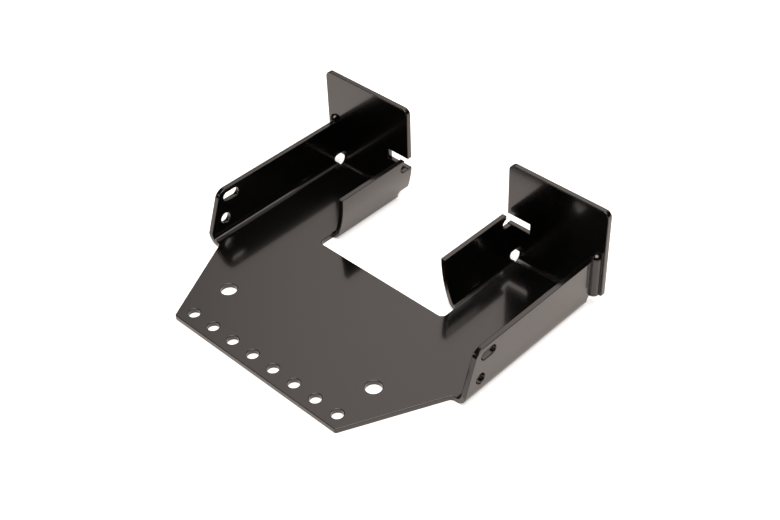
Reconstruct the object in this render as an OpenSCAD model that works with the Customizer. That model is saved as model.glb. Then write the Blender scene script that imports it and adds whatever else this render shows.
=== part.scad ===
// Limit bracket: one sheet of steel, cut to an outline and folded five ways.
// A flat base carries a row of holes along its front edge and two large holes behind them.
// A wide gap in the back leaves two arms. Each arm is a channel: an outer flange that stands
// straight up, an inner flange that leans over the gap and curves upright, and an end plate
// across the back that reaches past both flanges. The back corners are welded.
// The origin is on the underside, at the middle of the row of holes. +X runs along the row,
// +Y back along the arms and +Z up. Sizes are in millimetres.

/* [Sheet] */
// Thickness of the sheet
sheet = 5; // [3:0.5:6]
// Inside radius of the right-angled folds
bend_in = 6; // [5:0.5:10]

/* [Overall] */
// Width over the outer flanges
outer_w = 311; // [300:1:330]
// Depth from the front edge to the back of the end plates
depth = 258; // [245:1:300]

/* [Base plate] */
// Width of the front edge
front_w = 196; // [190:1:209]
// Radius of the two front corners
front_corner_r = 2.5; // [1:0.5:8]
// Distance from the front edge back to the shoulders, where the outer flanges start
shoulder_back = 88; // [75:1:100]
// Distance from the ends of the slanted sides to the fold lines of the outer flanges
shoulder_step = 3; // [3:0.5:20]
// Radius of the fillet at each shoulder
shoulder_r = 4.5; // [1:0.5:4.5]

/* [Row of small holes] */
// Number of holes in the row
row_count = 8; // [2:2:8]
// Distance between neighbouring holes
row_pitch = 25; // [15:0.5:25]
// Diameter of the small holes
row_hole_d = 10.5; // [4:0.5:12]
// Distance of the row from the front edge
row_setback = 13; // [10:0.5:25]

/* [Large holes] */
// Diameter of the two large holes
large_hole_d = 14.5; // [8:0.5:20]
// Distance between the two large holes
large_spacing = 177; // [60:1:190]
// Distance of the large holes from the front edge
large_setback = 53; // [45:1:65]

/* [Gap between the arms] */
// Width of the gap at its mouth, cut in the base
mouth_w = 150; // [140:1:152]
// Distance from the front edge back to the edge of the gap
mouth_back = 150.5; // [120:0.5:160]
// Radius of the two corners of the gap
mouth_corner_r = 5; // [2:0.5:12]

/* [Inner flanges] */
// Clear width between the inner flanges at their top edges
throat_w = 117; // [110:1:120]
// Radius of the long curve that brings the inner flanges upright
lean_r = 120; // [90:5:200]
// Distance from the edge of the gap back to the inner flanges
inner_start = 16.5; // [10:0.5:30]

/* [Outer flanges] */
// Height of the flanges above the underside of the base
flange_h = 51; // [45:1:60]
// Angle by which the front edges lean back above the fold
flange_rake = 20; // [0:1:25]
// Radius of the front top corners
flange_corner_r = 10; // [3:0.5:15]
// Length of the slots
slot_l = 18; // [12:0.5:30]
// Width of the slots
slot_w = 9; // [5:0.5:11]
// Distance from the shoulders back to the middle of the slots
slot_back = 27.5; // [26:0.5:60]
// Distance from the top edges down to the middle of the slots
slot_drop = 9; // [7:0.5:12]
// Diameter of the round holes below the slots
side_hole_d = 10.5; // [5:0.5:12]
// Distance from the shoulders back to the round holes
side_hole_back = 18; // [14:0.5:60]
// Height of the round holes above the underside
side_hole_h = 20; // [20:0.5:26]

/* [End plates] */
// Height of the end plates above the underside of the base
plate_h = 102; // [80:1:140]
// Distance by which the end plates reach out past the outer flanges
plate_reach = 8.5; // [3:0.5:20]
// Clear width between the two end plates
plate_gap_w = 119; // [118:1:130]
// Radius of the top corners
plate_corner_r = 6; // [2:0.5:12]
// Radius of the bottom corners of the wings
wing_corner_r = 2.5; // [1:0.5:5]
// Height of the bottom edges of the wings above the underside
wing_h = 12.5; // [11:0.5:14]
// Height of the middle of the notches
notch_h = 43.5; // [43:0.5:50]
// Width of the notches, from edge to edge
notch_w = 10.5; // [6:0.5:11]
// Length of the notches
notch_l = 25; // [10:0.5:40]
// Radius of the corners at the mouth of the notches
notch_corner_r = 3; // [1:0.5:4]

/* [Back corners] */
// Open distance from the folds of the flanges to the face of the end plates
corner_gap = 6; // [4:0.5:8]
// Distance by which the foot of an end plate reaches past the fold of the outer flange
foot_reach = 1.5; // [0:0.5:4]
// Distance by which the foot of an end plate reaches past the fold of the inner flange
heel_reach = 3; // [0:0.5:4]
// Height of the relief slots at the ends of the flange folds, from edge to edge
relief_w = 7; // [5:0.5:7]
// Length of the relief slots, from the face of the end plates to their round ends
relief_l = 8; // [7:0.5:12]
// Height of the middle of the relief slots
relief_h = 9; // [8:0.5:9]
// Radius of the round notch at the back edge of each inner flange
eye_r = 4.5; // [2:0.5:6]
// Height of the middle of the round notches
eye_h = 42; // [42:0.5:46]
// Height of the top of the weld in the inner corners
inner_weld_top = 37.5; // [25:0.5:38]
// Radius of the weld bead on the outer corners
bead_r = 5.5; // [4:0.5:7]

/* [Hidden] */
$fn = 96;
sheet_colour = "#2b2a29";

// A cut starts and ends this far outside what it cuts
slack = 1;

bend_out = bend_in + sheet;

// Lines across the part, from the front to the back
front_y = -row_setback;
shoulder_y = front_y + shoulder_back;
mouth_y = front_y + mouth_back;
inner_front_y = mouth_y + inner_start;
plate_back_y = front_y + depth;
plate_face_y = plate_back_y - sheet;
plate_bend_y = plate_back_y - bend_out;
flange_end_y = plate_face_y - corner_gap;

// Lines along the part, from the outside to the middle
outer_x = outer_w / 2;
outer_bend_x = outer_x - bend_out;
shoulder_x = outer_bend_x - shoulder_step;
plate_outer_x = outer_x + plate_reach;
plate_inner_x = plate_gap_w / 2;
mouth_x = mouth_w / 2;
throat_x = throat_w / 2;

// The inner flange: a fold that stops short of a right angle, then the long curve.
// Both arcs share the line on which they meet, so the face is smooth there.
lean_centre = [throat_x + lean_r, flange_h];
inner_fold_angle = acos((flange_h - bend_out) / (lean_r - bend_out));
inner_bend_x = lean_centre.x - (lean_r - bend_out) * sin(inner_fold_angle);

// The notch in the end plate
notch_top = notch_h + notch_w / 2;
notch_bottom = notch_h - notch_w / 2;
notch_end_x = plate_inner_x + notch_l;

// One corner of an outline: p is its point, a the point before it and b the point after it.
// A corner with a radius is cut back to the two points where its arc touches the edges.
function unit(v) = v / norm(v);
function half_angle(a, p, b) = acos(unit(a - p) * unit(b - p)) / 2;
function is_outside(a, p, b) = cross(p - a, b - p) > 0;
function touch_points(a, p, b, r) =
    let (t = r / tan(half_angle(a, p, b)))
    r > 0 ? [p + t * unit(a - p), p + t * unit(b - p)] : [p];
function arc_centre(a, p, b, r) =
    p + unit(unit(a - p) + unit(b - p)) * r / sin(half_angle(a, p, b));

// A flat outline from its corners, each [x, y, radius], listed anticlockwise
module outline(corners) {
    last = len(corners) - 1;
    point = [for (c = corners) [c.x, c.y]];
    before = [for (i = [0 : last]) point[i == 0 ? last : i - 1]];
    after = [for (i = [0 : last]) point[i == last ? 0 : i + 1]];
    difference() {
        union() {
            polygon([for (i = [0 : last]) each touch_points(before[i], point[i], after[i], corners[i].z)]);
            for (i = [0 : last])
                if (corners[i].z > 0 && is_outside(before[i], point[i], after[i]))
                    translate(arc_centre(before[i], point[i], after[i], corners[i].z))
                        circle(r = corners[i].z);
        }
        for (i = [0 : last])
            if (corners[i].z > 0 && !is_outside(before[i], point[i], after[i]))
                translate(arc_centre(before[i], point[i], after[i], corners[i].z))
                    circle(r = corners[i].z);
    }
}

// A band of sheet bent about a centre, between two angles less than 90 apart
module bent_band(centre, r_out, from, to) {
    reach = 2 * r_out;
    translate(centre)
        intersection() {
            difference() {
                circle(r = r_out);
                circle(r = r_out - sheet);
            }
            polygon([[0, 0], reach * [cos(from), sin(from)], reach * [cos(to), sin(to)]]);
        }
}

// Section of a right-angled fold that starts at the fold line and rises to a height
module upright_section(height) {
    bent_band([0, bend_out], bend_out, -90, 0);
    translate([bend_in, bend_out])
        square([sheet, height - bend_out]);
}

// Section of the right inner flange, seen from the front
module inner_section() {
    bent_band([inner_bend_x, bend_out], bend_out, -90 - inner_fold_angle, -90);
    bent_band(lean_centre, lean_r, 180, 270 - inner_fold_angle);
}

// An outline drawn in Y and Z, as thick as from one X to another
module along_x(from, to) {
    translate([from, 0, 0])
        rotate([90, 0, 90])
            linear_extrude(to - from)
                children();
}

// An outline drawn in X and Z, as thick as from one Y to another
module along_y(from, to) {
    translate([0, to, 0])
        rotate([90, 0, 0])
            linear_extrude(to - from)
                children();
}

// A shape on the right arm, and its mirror image on the left arm
module both_sides() {
    children();
    mirror([1, 0, 0])
        children();
}

// The flat base, with the row of small holes and the two large holes
module base_plate() {
    right_edge = [
        [front_w / 2, front_y, front_corner_r],
        [shoulder_x, shoulder_y, shoulder_r],
        [outer_bend_x, shoulder_y, 0],
        [outer_bend_x, plate_bend_y, 0],
        [inner_bend_x, plate_bend_y, 0],
        [inner_bend_x, inner_front_y, 0],
        [mouth_x, inner_front_y, 0],
        [mouth_x, mouth_y, mouth_corner_r],
    ];
    last = len(right_edge) - 1;
    left_edge = [for (i = [last : -1 : 0]) [-right_edge[i].x, right_edge[i].y, right_edge[i].z]];
    color(sheet_colour)
        difference() {
            linear_extrude(sheet)
                outline(concat(right_edge, left_edge));
            for (i = [0 : row_count - 1])
                translate([(i - (row_count - 1) / 2) * row_pitch, 0, -slack])
                    cylinder(d = row_hole_d, h = sheet + 2 * slack);
            both_sides()
                translate([large_spacing / 2, front_y + large_setback, -slack])
                    cylinder(d = large_hole_d, h = sheet + 2 * slack);
        }
}

// A slot with round ends, its length along the first axis
module slot_shape(length, width) {
    run = length - width;
    square([run, width], center = true);
    for (side = [-1, 1])
        translate([side * run / 2, 0])
            circle(d = width);
}

// The relief slot at the back of a flange, cut across the part from one X to another
module relief(from, to) {
    along_x(from, to)
        translate([plate_face_y - relief_l + relief_w / 2, relief_h]) {
            circle(d = relief_w);
            translate([0, -relief_w / 2])
                square([relief_l, relief_w]);
        }
}

// The right outer flange: its fold and its upright wall, with the raked front edge.
// Its fold stops short of the end plate, and its wall runs back to touch it.
module outer_flange() {
    rake_y = shoulder_y + (flange_h - bend_out) * tan(flange_rake);
    color(sheet_colour)
        difference() {
            intersection() {
                along_y(shoulder_y - slack, plate_face_y + slack)
                    translate([outer_bend_x, 0])
                        upright_section(flange_h);
                along_x(outer_bend_x - slack, outer_x + slack)
                    outline([
                        [flange_end_y, -slack, 0],
                        [flange_end_y, relief_h, 0],
                        [plate_face_y, relief_h, 0],
                        [plate_face_y, flange_h, 0],
                        [rake_y, flange_h, flange_corner_r],
                        [shoulder_y, bend_out, 0],
                        [shoulder_y, -slack, 0],
                    ]);
            }
            along_x(outer_x - sheet - slack, outer_x + slack) {
                translate([shoulder_y + slot_back, flange_h - slot_drop])
                    slot_shape(slot_l, slot_w);
                translate([shoulder_y + side_hole_back, side_hole_h])
                    circle(d = side_hole_d);
            }
            relief(outer_bend_x - slack, outer_x + slack);
        }
}

// The right inner flange: its fold and its curved wall, with the round notch at the back
module inner_flange() {
    color(sheet_colour)
        difference() {
            along_y(inner_front_y, flange_end_y)
                inner_section();
            along_x(throat_x - slack, inner_bend_x)
                translate([flange_end_y, eye_h])
                    circle(r = eye_r);
            relief(throat_x - slack, inner_bend_x + slack);
        }
}

// The right end plate: a foot between the flanges, and wings that reach past both of them.
// Below the notch its inner edge follows the curved face of the inner flange.
module end_plate() {
    corner_z = notch_bottom - notch_corner_r;
    corner_rise = lean_centre.y - corner_z;
    corner_x = lean_centre.x - sqrt(pow(lean_r - notch_corner_r, 2) - pow(corner_rise, 2));
    corner = [corner_x, corner_z];
    outward = unit(corner - lean_centre) * 2 * notch_corner_r;
    color(sheet_colour)
        intersection() {
            along_x(throat_x - slack, plate_outer_x + slack)
                translate([plate_bend_y, 0])
                    upright_section(plate_h);
            along_y(plate_bend_y - slack, plate_back_y + slack) {
                difference() {
                    outline([
                        [outer_bend_x + foot_reach, -slack, 0],
                        [outer_bend_x + foot_reach, wing_h, 0],
                        [plate_outer_x, wing_h, wing_corner_r],
                        [plate_outer_x, plate_h, plate_corner_r],
                        [plate_inner_x, plate_h, plate_corner_r],
                        [plate_inner_x, notch_top, notch_corner_r],
                        [notch_end_x, notch_top, 0],
                        [notch_end_x, notch_bottom, 0],
                        [throat_x, notch_bottom, 0],
                        [throat_x, wing_h, 0],
                        [inner_bend_x - heel_reach, wing_h, 0],
                        [inner_bend_x - heel_reach, -slack, 0],
                    ]);
                    difference() {
                        translate([throat_x - slack, wing_h - slack])
                            square([inner_bend_x - throat_x, notch_h - wing_h]);
                        translate(lean_centre)
                            circle(r = lean_r, $fn = 4 * $fn);
                    }
                    polygon([
                        corner,
                        corner + [0, 2 * notch_corner_r],
                        corner + [-2 * notch_corner_r, 2 * notch_corner_r],
                        corner + outward,
                    ]);
                }
                translate(corner)
                    circle(r = notch_corner_r);
            }
        }
}

// The weld that fills the right inner corner, flush with both faces of the inner flange
module inner_weld() {
    color(sheet_colour)
        difference() {
            intersection() {
                along_y(flange_end_y, plate_face_y)
                    inner_section();
                translate([throat_x, flange_end_y - slack, relief_h])
                    cube([inner_bend_x - throat_x, corner_gap + 2 * slack, inner_weld_top - relief_h]);
            }
            relief(throat_x - slack, inner_bend_x + slack);
        }
}

// The round bead along the right outer corner, between the flange and the wing.
// Its top end is a dome, and its bottom end is cut by the relief.
module outer_weld() {
    color(sheet_colour)
        difference() {
            translate([outer_x, plate_face_y, relief_h]) {
                cylinder(r = bead_r, h = flange_h - relief_h);
                translate([0, 0, flange_h - relief_h])
                    sphere(r = bead_r);
            }
            relief(outer_x - bead_r - slack, outer_x + bead_r + slack);
            translate([outer_x - 2 * bead_r, plate_face_y + sheet / 2, 0])
                cube([4 * bead_r, 2 * bead_r, flange_h + 2 * bead_r]);
        }
}

module bracket() {
    union() {
        base_plate();
        both_sides() {
            outer_flange();
            inner_flange();
            end_plate();
            inner_weld();
            outer_weld();
        }
    }
}

bracket();
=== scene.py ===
import itertools
import math

import bmesh
import bpy
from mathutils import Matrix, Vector


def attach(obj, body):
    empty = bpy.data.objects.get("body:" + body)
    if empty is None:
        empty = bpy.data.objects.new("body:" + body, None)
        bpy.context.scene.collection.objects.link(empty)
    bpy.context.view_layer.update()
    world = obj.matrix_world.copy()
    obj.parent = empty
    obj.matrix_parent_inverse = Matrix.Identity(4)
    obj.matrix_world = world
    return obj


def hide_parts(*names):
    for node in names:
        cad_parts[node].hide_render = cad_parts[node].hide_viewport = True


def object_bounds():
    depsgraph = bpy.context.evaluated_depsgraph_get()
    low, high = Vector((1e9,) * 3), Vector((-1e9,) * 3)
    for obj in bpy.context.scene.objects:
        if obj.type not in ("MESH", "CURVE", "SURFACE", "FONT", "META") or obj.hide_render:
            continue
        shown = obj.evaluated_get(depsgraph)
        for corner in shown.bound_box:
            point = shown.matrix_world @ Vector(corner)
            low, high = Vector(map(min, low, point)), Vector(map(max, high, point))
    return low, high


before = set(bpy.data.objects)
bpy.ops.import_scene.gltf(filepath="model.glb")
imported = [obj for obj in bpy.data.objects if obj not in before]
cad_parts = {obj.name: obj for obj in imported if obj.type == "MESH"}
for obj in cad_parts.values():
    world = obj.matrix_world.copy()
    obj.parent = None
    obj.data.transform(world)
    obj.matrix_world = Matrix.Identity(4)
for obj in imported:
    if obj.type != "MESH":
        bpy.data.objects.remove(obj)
cad_low, cad_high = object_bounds()


# The base: the flat middle of one sheet of 5 mm steel, cut by laser. Its sides slant out from
# the front edge to the shoulders, and a wide gap in its back leaves an arm on each side.
# The right half is modelled, up to the middle of the bracket, and mirrored once it is whole.
mm = 0.001
sheet = 5 * mm
front_y = cad_low.y
front_corner_x = 98 * mm
shoulder_y = front_y + 88 * mm
mouth_x = 75 * mm
mouth_y = front_y + 150.5 * mm
inner_front_y = mouth_y + 16.5 * mm
throat_x = 58.5 * mm

right_angle = math.radians(90)
fold_step = math.radians(4.5)
fold_steps = round(right_angle / fold_step)
fold_outside = 11 * mm
flange_top = 51 * mm
plate_outer_x = cad_high.x
plate_back_y = cad_high.y
plate_face_y = plate_back_y - sheet
plate_fold_y = plate_back_y - fold_outside
outer_x = plate_outer_x - 8.5 * mm
outer_fold_x = outer_x - fold_outside
shoulder_x = outer_fold_x - 3 * mm

curve_radius = 120 * mm
curve_middle = Vector((throat_x + curve_radius, 0, flange_top))
inner_fold_angle = math.acos((flange_top - fold_outside) / (curve_radius - fold_outside))
inner_fold_x = curve_middle.x - (curve_radius - fold_outside) * math.sin(inner_fold_angle)

# A cutting tool reaches past what it cuts by the slack. Two places that differ by less than the
# touch are one, and a normal or an edge with nine tenths of its length on an axis lies along it.
slack = 2 * mm
touch = 0.01 * mm
along = 0.9


def block(low, high):
    """Adds a block between two of its corners."""
    bpy.ops.object.select_all(action="DESELECT")
    middle = [(a + b) / 2 for a, b in zip(low, high)]
    size = [b - a for a, b in zip(low, high)]
    bpy.ops.mesh.primitive_cube_add(size=1, location=middle, scale=size)
    bpy.ops.object.transform_apply(location=True, rotation=True, scale=True)
    return bpy.context.object


def combine(piece, tool, operation):
    """Cuts a tool out of a piece or joins it on, and removes the tool."""
    boolean = piece.modifiers.new("boolean", "BOOLEAN")
    boolean.operation = operation
    boolean.object = tool
    boolean.solver = "EXACT"
    boolean.use_self = operation == "UNION"
    bpy.context.view_layer.objects.active = piece
    bpy.ops.object.modifier_apply(modifier=boolean.name)
    bpy.data.objects.remove(tool)


def near(a, b):
    return abs(a - b) < touch


def pick(kind, wanted):
    """Selects the faces or the edges whose middle, and normal or direction, pass a test."""
    bpy.ops.mesh.select_mode(type={"faces": "FACE", "edges": "EDGE"}[kind])
    bpy.ops.mesh.select_all(action="DESELECT")
    shape = bmesh.from_edit_mesh(bpy.context.object.data)
    for part in getattr(shape, kind):
        middle = sum((corner.co for corner in part.verts), Vector()) / len(part.verts)
        if kind == "faces":
            way = part.normal
        else:
            way = (part.verts[1].co - part.verts[0].co).normalized()
        if wanted(middle, way):
            part.select_set(True)
    bmesh.update_edit_mesh(bpy.context.object.data)


def pull(x=0, y=0, z=0):
    bpy.ops.mesh.extrude_region_move(TRANSFORM_OT_translate={"value": (x, y, z)})


def round_edges(wanted, radius, turn=90, segments=10):
    """Rounds the edges that pass a test, at which the outline turns by so many degrees."""
    pick("edges", wanted)
    offset = radius * math.tan(math.radians(turn) / 2)
    bpy.ops.mesh.bevel(offset=offset, offset_type="OFFSET", segments=segments, affect="EDGES")


bracket = block((0, front_y, 0), (outer_fold_x, plate_fold_y, sheet))
bracket.name = "coated_bracket"
mouth = block((-slack, mouth_y, -slack), (mouth_x, plate_back_y, sheet + slack))
combine(bracket, mouth, "DIFFERENCE")
gap = block((-slack, inner_front_y, -slack), (inner_fold_x, plate_back_y, sheet + slack))
combine(bracket, gap, "DIFFERENCE")
side_slope = (shoulder_x - front_corner_x) / (shoulder_y - front_y)
side_turn = math.degrees(right_angle - math.atan(side_slope))
side_start = (front_corner_x - slack * side_slope, front_y - slack, -slack)
side = block(side_start, (plate_outer_x, shoulder_y, sheet + slack))
for corner in side.data.vertices:
    if corner.co.x < front_corner_x and near(corner.co.y, shoulder_y):
        corner.co.x = shoulder_x
combine(bracket, side, "DIFFERENCE")


# The outer flange: the side of the arm, pressed up square with a 6 mm radius inside the fold.
# Its front edge leans back above the fold, and its top corner is cut round.
rake = math.radians(20)
rake_turn = 70
flange_corner_radius = 10 * mm
bpy.ops.object.mode_set(mode="EDIT")
pick("faces", lambda at, way: near(at.x, outer_fold_x))
fold_middle = (outer_fold_x, 0, fold_outside)
bpy.ops.mesh.spin(steps=fold_steps, angle=right_angle, center=fold_middle, axis=(0, 1, 0))
pull(z=flange_top - fold_outside)
pick("faces", lambda at, way: at.x > outer_fold_x + touch)
rake_start = (0, shoulder_y, fold_outside)
rake_normal = (0, -math.cos(rake), math.sin(rake))
bpy.ops.mesh.bisect(plane_co=rake_start, plane_no=rake_normal, clear_outer=True, use_fill=True)
rake_top_y = shoulder_y + (flange_top - fold_outside) * math.tan(rake)
round_edges(lambda at, way: near(at.y, rake_top_y) and near(at.z, flange_top)
            and abs(way.x) > along, flange_corner_radius, rake_turn, segments=12)


# The inner flange: folded up short of square, then rolled to a long curve that brings it upright
# at its top edge, 117 mm from the other one.
full_steps = int(inner_fold_angle / fold_step)
full_angle = full_steps * fold_step
curve_angle = right_angle - inner_fold_angle
curve_steps = 12
pick("faces", lambda at, way: near(at.x, inner_fold_x) and at.y > inner_front_y)
fold_middle = (inner_fold_x, 0, fold_outside)
for steps, angle, middle in (
        (full_steps, full_angle, fold_middle),
        (1, inner_fold_angle - full_angle, fold_middle),
        (curve_steps, curve_angle, curve_middle)):
    bpy.ops.mesh.spin(steps=steps, angle=-angle, center=middle, axis=(0, 1, 0))


# The end plate: the end of the arm, folded up square and twice as high as the flanges. Its foot
# fits between them. Above the foot its wings reach past both, and below the notch its inner edge
# follows the curve of the inner flange.
# The foot ends past the flanges' fold lines by the two reaches, and the flanges end past the
# plate's fold line by the tail.
foot_reach = 1.5 * mm
heel_reach = 3 * mm
flange_tail = 0.45 * mm
plate_top = cad_high.z
plate_inner_x = 59.5 * mm
wing_bottom = 12.5 * mm
foot_x = outer_fold_x + foot_reach
heel_x = inner_fold_x - heel_reach
pick("faces", lambda at, way: near(at.y, plate_fold_y) and way.y > along
     and inner_fold_x < at.x < outer_fold_x)
fold_middle = (0, plate_fold_y, fold_outside)
bpy.ops.mesh.spin(steps=fold_steps, angle=-right_angle, center=fold_middle, axis=(1, 0, 0))

# The plate's fold starts from one corner with the outer flange's fold, and from another with the
# inner one's. Each two meet there on the diagonal, and from one step of the fold further up each
# ends in a straight line.
margin = 1 * mm
squarely = 0.99
first_step = fold_step + math.radians(0.5)
shape = bmesh.from_edit_mesh(bracket.data)


def beside_fold(at):
    """How far a point at the end of a fold lies from the fold's start, or nothing elsewhere."""
    if near(at.y, plate_fold_y) and at.x > outer_fold_x + touch:
        return at.x - outer_fold_x
    if near(at.y, plate_fold_y) and throat_x - margin < at.x < inner_fold_x - touch:
        return inner_fold_x - at.x
    if at.y > plate_fold_y + touch and (near(at.x, outer_fold_x) or near(at.x, inner_fold_x)):
        return at.y - plate_fold_y
    return 0


def on_diagonal(at):
    return math.atan2(beside_fold(at), fold_outside - at.z) < first_step


joined = []
for face in shape.faces:
    middle = face.calc_center_median()
    upright = max(abs(face.normal.x), abs(face.normal.y)) > squarely
    if beside_fold(middle) > 0 and upright and on_diagonal(middle):
        joined.append(face)
bmesh.ops.delete(shape, geom=joined, context="FACES")
for corner in shape.verts:
    at = corner.co.copy()
    offset = beside_fold(at)
    if offset == 0:
        continue
    if near(at.y, plate_fold_y):
        corner.co.y += offset if on_diagonal(at) else flange_tail
    elif near(at.x, outer_fold_x):
        corner.co.x += offset if on_diagonal(at) else foot_reach
    else:
        corner.co.x -= offset if on_diagonal(at) else heel_reach
bmesh.update_edit_mesh(bracket.data)
bpy.ops.mesh.select_all(action="SELECT")
bpy.ops.mesh.remove_doubles(threshold=touch / 2)

# The wall of the plate rises in steps at the heights that the long curve has, but for those too
# close to the wing's bottom or to where the curve reaches the plate's inner edge
above_wing = 0.5 * mm
below_flush = 0.3 * mm
flush_rise = math.sqrt(curve_radius ** 2 - (curve_middle.x - plate_inner_x) ** 2)
flush_height = curve_middle.z - flush_rise
levels = [wing_bottom, flush_height, plate_top]
for step in range(1, curve_steps):
    height = curve_middle.z - curve_radius * math.sin(curve_angle * step / curve_steps)
    if wing_bottom + above_wing < height < flush_height - below_flush:
        levels.append(height)
pick("faces", lambda at, way: near(at.z, fold_outside) and at.y > plate_face_y and way.z > along)
reached = fold_outside
for level in sorted(levels):
    pull(z=level - reached)
    reached = level
for edge_x, wing_x in ((foot_x, plate_outer_x), (heel_x, plate_inner_x)):
    pick("faces", lambda at, way: near(at.x, edge_x) and at.z > wing_bottom
         and at.y > plate_face_y)
    pull(x=wing_x - edge_x)
for corner in bmesh.from_edit_mesh(bracket.data).verts:
    if near(corner.co.x, plate_inner_x) and corner.co.z < flush_height + touch:
        rise = curve_middle.z - corner.co.z
        corner.co.x = curve_middle.x - math.sqrt(curve_radius ** 2 - rise ** 2)
bmesh.update_edit_mesh(bracket.data)

# The flange walls run back into the plate: the outer one over its whole height, the inner one by
# its weld
embed = 0.5 * mm
inner_weld_top = 37.5 * mm
flange_end_y = plate_fold_y + flange_tail
fold_end_z = fold_outside - fold_outside * math.cos(inner_fold_angle)
pick("faces", lambda at, way: near(at.y, flange_end_y) and at.x > outer_fold_x
     and at.z > fold_outside and way.y > along)
pull(y=plate_face_y + embed - flange_end_y)
pick("faces", lambda at, way: throat_x - margin < at.x < inner_fold_x - touch
     and inner_front_y - margin < at.y < flange_end_y + touch)
bpy.ops.mesh.bisect(plane_co=(0, 0, inner_weld_top), plane_no=(0, 0, 1))
pick("faces", lambda at, way: near(at.y, flange_end_y) and at.x < inner_fold_x
     and way.y > along and fold_end_z < at.z < inner_weld_top)
pull(y=plate_face_y + embed - flange_end_y)

# The corners that the laser cut round
plate_corner_radius = 6 * mm
wing_corner_radius = 2.5 * mm
front_corner_radius = 2.5 * mm
shoulder_radius = 4.5 * mm
mouth_radius = 5 * mm
round_edges(lambda at, way: near(at.z, plate_top) and abs(way.y) > along
            and (near(at.x, plate_outer_x) or near(at.x, plate_inner_x)), plate_corner_radius)
round_edges(lambda at, way: near(at.z, wing_bottom) and near(at.x, plate_outer_x)
            and abs(way.y) > along, wing_corner_radius)
for corner_x, corner_y, radius, turn in (
        (front_corner_x, front_y, front_corner_radius, side_turn),
        (shoulder_x, shoulder_y, shoulder_radius, side_turn),
        (mouth_x, mouth_y, mouth_radius, 90)):
    round_edges(lambda at, way: near(at.x, corner_x) and near(at.y, corner_y)
                and abs(way.z) > along, radius, turn)
bpy.ops.object.mode_set(mode="OBJECT")


# The back corners: a round bead of weld closes each outer one up to a domed end, and a relief slot
# with a round end is left open at the foot of each weld, where the folds would crowd.
bead_radius = 5.5 * mm
bead_sides = 48
bead_turn = (0, 0, math.pi / bead_sides)
bead_top = flange_top - 0.3 * mm
bead_in_flange = 3 * mm
bead_in_plate = 2 * mm
relief_low = 5.5 * mm
relief_high = 12.5 * mm
relief_front_y = plate_face_y - 8 * mm
relief_radius = (relief_high - relief_low) / 2
relief_middle = (relief_high + relief_low) / 2
beside_foot = 0.3 * mm


def work_on(piece):
    """Selects one piece and opens it in edit mode."""
    bpy.ops.object.select_all(action="DESELECT")
    piece.select_set(True)
    bpy.context.view_layer.objects.active = piece
    bpy.ops.object.mode_set(mode="EDIT")


def trim(piece, point, normal):
    """Cuts a closed piece off on the side to which a normal points."""
    work_on(piece)
    bpy.ops.mesh.select_all(action="SELECT")
    bpy.ops.mesh.bisect(plane_co=point, plane_no=normal, clear_outer=True, use_fill=True)
    bpy.ops.object.mode_set(mode="OBJECT")


bpy.ops.object.select_all(action="DESELECT")
bpy.ops.mesh.primitive_cylinder_add(
    vertices=bead_sides, radius=bead_radius, depth=bead_top - relief_middle,
    location=(outer_x, plate_face_y, (relief_middle + bead_top) / 2), rotation=bead_turn)
bead = bpy.context.object
bpy.ops.object.transform_apply(location=True, rotation=True, scale=True)
bpy.ops.object.select_all(action="DESELECT")
bpy.ops.mesh.primitive_uv_sphere_add(
    segments=bead_sides, ring_count=24, radius=bead_radius,
    location=(outer_x, plate_face_y, bead_top), rotation=bead_turn)
dome = bpy.context.object
bpy.ops.object.transform_apply(location=True, rotation=True, scale=True)
trim(dome, (0, 0, bead_top), (0, 0, -1))
combine(bead, dome, "UNION")
trim(bead, (outer_x - bead_in_flange, 0, 0), (-1, 0, 0))
trim(bead, (0, plate_face_y + bead_in_plate, 0), (0, 1, 0))
combine(bracket, bead, "UNION")

# A slot's end is rounded by a little less than half its height, so that its two arcs don't touch
nearly = 0.999
for low_x, high_x in (
        (throat_x - slack, heel_x - beside_foot),
        (foot_x + beside_foot, plate_outer_x)):
    relief_start = (low_x, relief_front_y, relief_low)
    relief = block(relief_start, (high_x, plate_back_y + slack, relief_high))
    bpy.ops.object.mode_set(mode="EDIT")
    round_edges(lambda at, way: near(at.y, relief_front_y) and abs(way.x) > along,
                relief_radius * nearly)
    bpy.ops.object.mode_set(mode="OBJECT")
    combine(bracket, relief, "DIFFERENCE")


# The holes, all cut through: eight for M10 bolts at the front edge, two for M14 bolts behind them,
# a round hole and a slot in each outer flange, a notch in each end plate and a round notch, the
# eye, in the inner flange's back edge beside it.
bolt_hole_radius = 5.25 * mm
bolt_hole_sides = 48
row_pitch = 25 * mm
row_holes = 4
large_x = 88.5 * mm
large_y = 40 * mm
large_radius = 7.25 * mm
side_hole_y = shoulder_y + 18 * mm
side_hole_z = 20 * mm
slot_y = shoulder_y + 27.5 * mm
slot_z = flange_top - 9 * mm
slot_reach = 9 * mm
slot_radius = 4.5 * mm
eye_z = 42 * mm
eye_radius = 4.5 * mm
notch_low = 38.25 * mm
notch_high = 48.75 * mm
notch_depth = 25 * mm
before_face = 0.3 * mm
long_tool = 4 * sheet
turned = {"x": (0, right_angle, 0), "z": (0, 0, 0)}


def rod(middle, radius, length, axis, sides=64):
    """Adds a round rod along one axis."""
    bpy.ops.object.select_all(action="DESELECT")
    bpy.ops.mesh.primitive_cylinder_add(
        vertices=sides, radius=radius, depth=length, location=middle, rotation=turned[axis])
    bpy.ops.object.transform_apply(location=True, rotation=True, scale=True)
    return bpy.context.object


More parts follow.
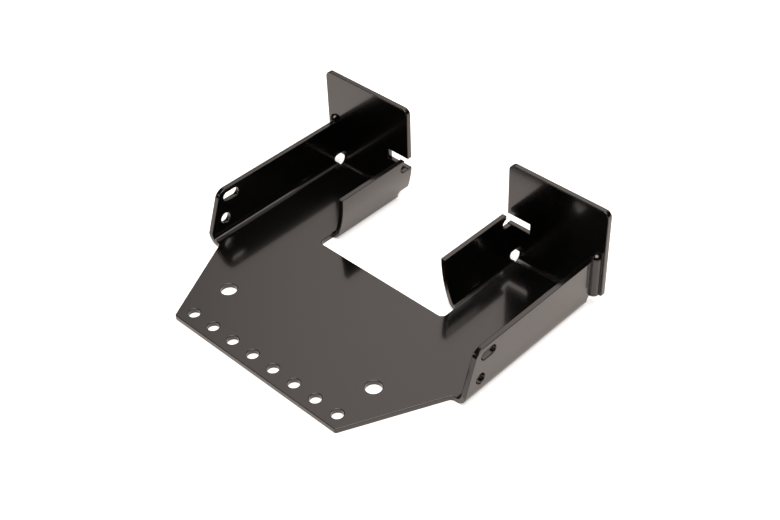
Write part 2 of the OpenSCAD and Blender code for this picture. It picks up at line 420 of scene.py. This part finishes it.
# The base is first divided close to the middle lines of its holes, so that no face has a hole
# inside it, and between two corners of each hole's many-sided tool
between_corners = 0.35 * mm
work_on(bracket)
for line_y in (between_corners, large_y + between_corners):
    pick("faces", lambda at, way: at.y < mouth_y and at.x < outer_fold_x and abs(way.z) > along)
    bpy.ops.mesh.bisect(plane_co=(0, line_y, 0), plane_no=(0, 1, 0))
bpy.ops.object.mode_set(mode="OBJECT")

eye = rod((throat_x + sheet, plate_fold_y, eye_z), eye_radius, 3 * sheet, "x")
combine(bracket, eye, "DIFFERENCE")
notch_start = (throat_x - slack, plate_face_y - before_face, notch_low)
notch_end = (plate_inner_x + notch_depth, plate_back_y + slack, notch_high)
combine(bracket, block(notch_start, notch_end), "DIFFERENCE")
for index in range(row_holes):
    middle = ((index + 0.5) * row_pitch, 0, 0)
    hole = rod(middle, bolt_hole_radius, long_tool, "z", bolt_hole_sides)
    combine(bracket, hole, "DIFFERENCE")
large_hole = rod((large_x, large_y, 0), large_radius, long_tool, "z")
combine(bracket, large_hole, "DIFFERENCE")
middle = (outer_x, side_hole_y, side_hole_z)
side_hole = rod(middle, bolt_hole_radius, long_tool, "x", bolt_hole_sides)
combine(bracket, side_hole, "DIFFERENCE")
slot_start = (outer_fold_x, slot_y - slot_reach, slot_z - slot_radius)
slot = block(slot_start, (outer_x + sheet, slot_y + slot_reach, slot_z + slot_radius))
bpy.ops.object.mode_set(mode="EDIT")
round_edges(lambda at, way: abs(way.x) > along, slot_radius * nearly, segments=16)
bpy.ops.object.mode_set(mode="OBJECT")
combine(bracket, slot, "DIFFERENCE")


# The whole bracket: the two halves are joined at the middle. The edges were deburred after
# cutting, and the baked coat rounds them further, so each outward edge that is sharp is rounded.
edge_radius = 0.7 * mm
edge_segments = 3
sharp_angle = math.radians(32)
narrow_angle = math.radians(35)
flat_angle = math.radians(0.2)
same_corner = 0.03 * mm
sliver = 0.05 * mm
same_spot = 0.001 * mm
work_on(bracket)
pick("faces", lambda at, way: near(at.x, 0) and way.x < -along)
bpy.ops.mesh.delete(type="FACE")
bpy.ops.object.mode_set(mode="OBJECT")
both_sides = bracket.modifiers.new("both_sides", "MIRROR")
both_sides.use_clip = True
both_sides.merge_threshold = touch
bpy.ops.object.modifier_apply(modifier=both_sides.name)
bpy.ops.object.mode_set(mode="EDIT")
bpy.ops.mesh.select_all(action="SELECT")
bpy.ops.mesh.remove_doubles(threshold=same_corner)
bpy.ops.mesh.normals_make_consistent(inside=False)
bpy.ops.mesh.dissolve_limited(angle_limit=flat_angle)
bpy.ops.mesh.dissolve_degenerate(threshold=sliver)

# A sharp edge is left as it is where it meets another at a narrow angle, and around the front end
# of an inner fold, where the fold leaves the base by less than its rounding
fold_start = Vector(((mouth_x + inner_fold_x) / 2, inner_front_y))
left_sharp = 2.5 * mm
shape = bmesh.from_edit_mesh(bracket.data)
weight = shape.edges.layers.float.new("bevel_weight_edge")
sharp_edges = set()
for edge in shape.edges:
    middle = (edge.verts[0].co + edge.verts[1].co) / 2
    from_fold = (Vector((abs(middle.x), middle.y)) - fold_start).length
    if edge.is_convex and edge.calc_face_angle() > sharp_angle and from_fold > left_sharp:
        sharp_edges.add(edge)
crowded = True
while crowded:
    crowded = set()
    for corner in shape.verts:
        meeting = [edge for edge in corner.link_edges if edge in sharp_edges]
        for one, other in itertools.combinations(meeting, 2):
            one_way = one.other_vert(corner).co - corner.co
            other_way = other.other_vert(corner).co - corner.co
            if one_way.angle(other_way) < narrow_angle:
                crowded.update((one, other))
    sharp_edges -= crowded
for edge in sharp_edges:
    edge[weight] = 1
bmesh.update_edit_mesh(bracket.data)
bpy.ops.object.mode_set(mode="OBJECT")

rounding = bracket.modifiers.new("rounded_edges", "BEVEL")
rounding.limit_method = "WEIGHT"
rounding.width = edge_radius
rounding.segments = edge_segments
rounding.use_clamp_overlap = False
bpy.ops.object.modifier_apply(modifier=rounding.name)

# The rounding can push a corner out of the solid's box by a hair and leave corners on one spot
for corner in bracket.data.vertices:
    places = zip(corner.co, cad_low, cad_high)
    corner.co = [min(max(place, low), high) for place, low, high in places]
bpy.ops.object.mode_set(mode="EDIT")
bpy.ops.mesh.select_all(action="SELECT")
bpy.ops.mesh.remove_doubles(threshold=same_spot)
bpy.ops.object.mode_set(mode="OBJECT")
bpy.ops.object.shade_smooth_by_angle(angle=sharp_angle)
flat_normals = bracket.modifiers.new("flat_normals", "WEIGHTED_NORMAL")
flat_normals.keep_sharp = True
bpy.ops.object.modifier_apply(modifier=flat_normals.name)


def linear(hex_colour):
    """Turns an sRGB hex colour to linear light."""
    channels = [int(hex_colour[i:i + 2], 16) / 255 for i in (1, 3, 5)]
    return [c / 12.92 if c <= 0.04045 else ((c + 0.055) / 1.055) ** 2.4 for c in channels] + [1]


def add_node(tree, kind, inputs, **settings):
    """Adds a node with its settings, and sets or links its inputs."""
    node = tree.nodes.new(kind)
    for name, value in settings.items():
        setattr(node, name, value)
    for name, value in inputs.items():
        if isinstance(value, bpy.types.NodeSocket):
            tree.links.new(value, node.inputs[name])
        else:
            node.inputs[name].default_value = value
    return node


# Gloss black powder coat, baked on. It is nearly black by itself: what the eye sees is the room
# mirrored in it, a little unsteady from the orange peel of the baked coat, whose waves are about
# 3 mm long and a few thousandths of a millimetre high.
peel_length = 3 * mm
peel_height = 0.006 * mm
powder_coat = bpy.data.materials.new("gloss_black_powder_coat")
powder_coat.use_nodes = True
tree = powder_coat.node_tree
place = add_node(tree, "ShaderNodeTexCoord", {})
peel = add_node(tree, "ShaderNodeTexNoise", {
    "Vector": place.outputs["Object"], "Scale": 1 / peel_length,
    "Detail": 1.0, "Roughness": 0.4})
wavy = add_node(tree, "ShaderNodeBump", {
    "Height": peel.outputs["Fac"], "Strength": 1.0, "Distance": peel_height})
shader = tree.nodes["Principled BSDF"]
for socket in ("Normal", "Coat Normal"):
    tree.links.new(wavy.outputs["Normal"], shader.inputs[socket])
for socket, value in {
        "Base Color": linear("#050505"), "Roughness": 0.2, "IOR": 1.5,
        "Coat Weight": 1.0, "Coat Roughness": 0.09, "Coat IOR": 1.55}.items():
    shader.inputs[socket].default_value = value
bracket.data.materials.clear()
bracket.data.materials.append(powder_coat)

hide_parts("bracket")
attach(bracket, "root")


# The floor: white paper that the bracket stands on. It is white to the eye and keeps the soft
# shadow, and the coat mirrors it.
floor_size = 12
paper_glow = 0.6
bpy.ops.object.select_all(action="DESELECT")
bpy.ops.mesh.primitive_plane_add(size=floor_size)
floor = bpy.context.object
floor.name = "paper_floor"
paper = bpy.data.materials.new("white_paper")
paper.use_nodes = True
tree = paper.node_tree
tree.nodes.clear()
ray = add_node(tree, "ShaderNodeLightPath", {})
seen = add_node(tree, "ShaderNodeMath", {
    0: ray.outputs["Is Camera Ray"], 1: paper_glow}, operation="MULTIPLY")
paper_face = add_node(tree, "ShaderNodeBsdfDiffuse", {"Color": linear("#ffffff")})
glow = add_node(tree, "ShaderNodeEmission", {"Strength": seen.outputs[0]})
both = add_node(tree, "ShaderNodeAddShader", {0: paper_face.outputs[0], 1: glow.outputs[0]})
add_node(tree, "ShaderNodeOutputMaterial", {"Surface": both.outputs[0]})
floor.data.materials.append(paper)


# The room: a dark studio with warm soft boxes. Each is given by the azimuth and the elevation of
# its middle, the angles from there at which it starts to fade and ends, and its strength. Azimuths
# are turned from +Y towards -X.
room_light = 0.02
soft_boxes = {
    "overhead": (-127, 78, 20, 30, 4.6),
    "backdrop": (30, 50, 3, 32, 1.08),
    "right": (-42, 51, 4, 8, 3.0),
    "front_left": (140, 29, 3, 7, 3.0),
}
warm = (1, 0.89, 0.82, 1)
world = bpy.data.worlds.new("studio")
bpy.context.scene.world = world
world.use_nodes = True
tree = world.node_tree
direction = add_node(tree, "ShaderNodeTexCoord", {}).outputs["Generated"]
light = room_light
for azimuth, elevation, inner, outer, strength in soft_boxes.values():
    azimuth, elevation = math.radians(azimuth), math.radians(elevation)
    flat = math.cos(elevation)
    towards = (-math.sin(azimuth) * flat, math.cos(azimuth) * flat, math.sin(elevation))
    facing = add_node(tree, "ShaderNodeVectorMath", {
        0: direction, 1: towards}, operation="DOT_PRODUCT")
    box = add_node(tree, "ShaderNodeMapRange", {
        "Value": facing.outputs["Value"],
        "From Min": math.cos(math.radians(outer)), "From Max": math.cos(math.radians(inner)),
        "To Min": 0, "To Max": strength}, interpolation_type="SMOOTHSTEP")
    light = add_node(tree, "ShaderNodeMath", {
        0: light, 1: box.outputs["Result"]}, operation="ADD").outputs[0]
background = tree.nodes["Background"]
background.inputs["Color"].default_value = warm
tree.links.new(light, background.inputs["Strength"])
bpy.context.scene.view_settings.view_transform = "Standard"


# The camera looks down on the bracket from the front right, as in the photograph.
camera_place = (0.62349, -0.46709, 0.76818)
camera_turn = (49.4505, 1.7773, 43.6735)
camera_data = bpy.data.cameras.new("camera")
camera_data.lens = 60.75
camera_data.sensor_width = 36
camera = bpy.data.objects.new("camera", camera_data)
camera.location = camera_place
camera.rotation_euler = [math.radians(angle) for angle in camera_turn]
bpy.context.scene.collection.objects.link(camera)
bpy.context.scene.camera = camera
